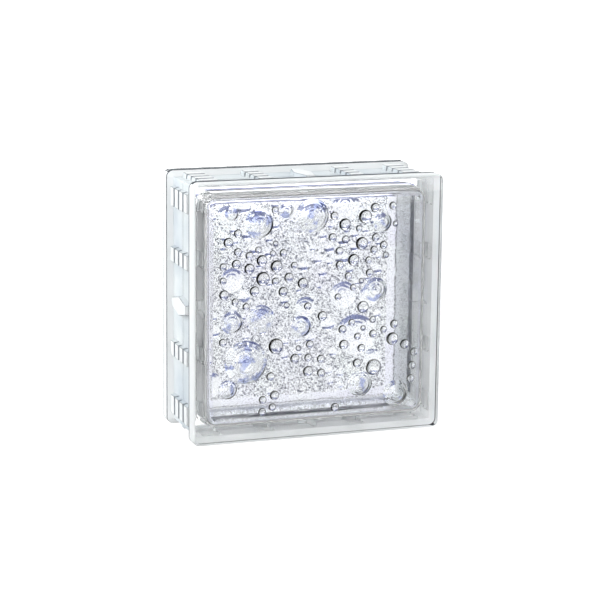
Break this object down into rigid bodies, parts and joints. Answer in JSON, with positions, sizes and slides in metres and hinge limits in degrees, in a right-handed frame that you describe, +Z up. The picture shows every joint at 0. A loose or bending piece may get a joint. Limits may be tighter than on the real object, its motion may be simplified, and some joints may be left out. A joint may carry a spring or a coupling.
{
  "type": "glass block",
  "caption": "Hollow clear glass building block with bubble-patterned faces, rounded rims and a keyed mortar channel round its edges.",
  "frame": {"origin": "on the floor, midway along the lower edge and midway between the two faces", "axes": "+X to the right along the width, +Y from the front face to the back face, +Z up"},
  "size_m": [0.19, 0.08, 0.19],
  "materials": {
    "clear_glass": "clear pressed glass"
  },
  "bodies": {
    "root": {"glass_block": "clear_glass"}
  },
  "joints": []
}
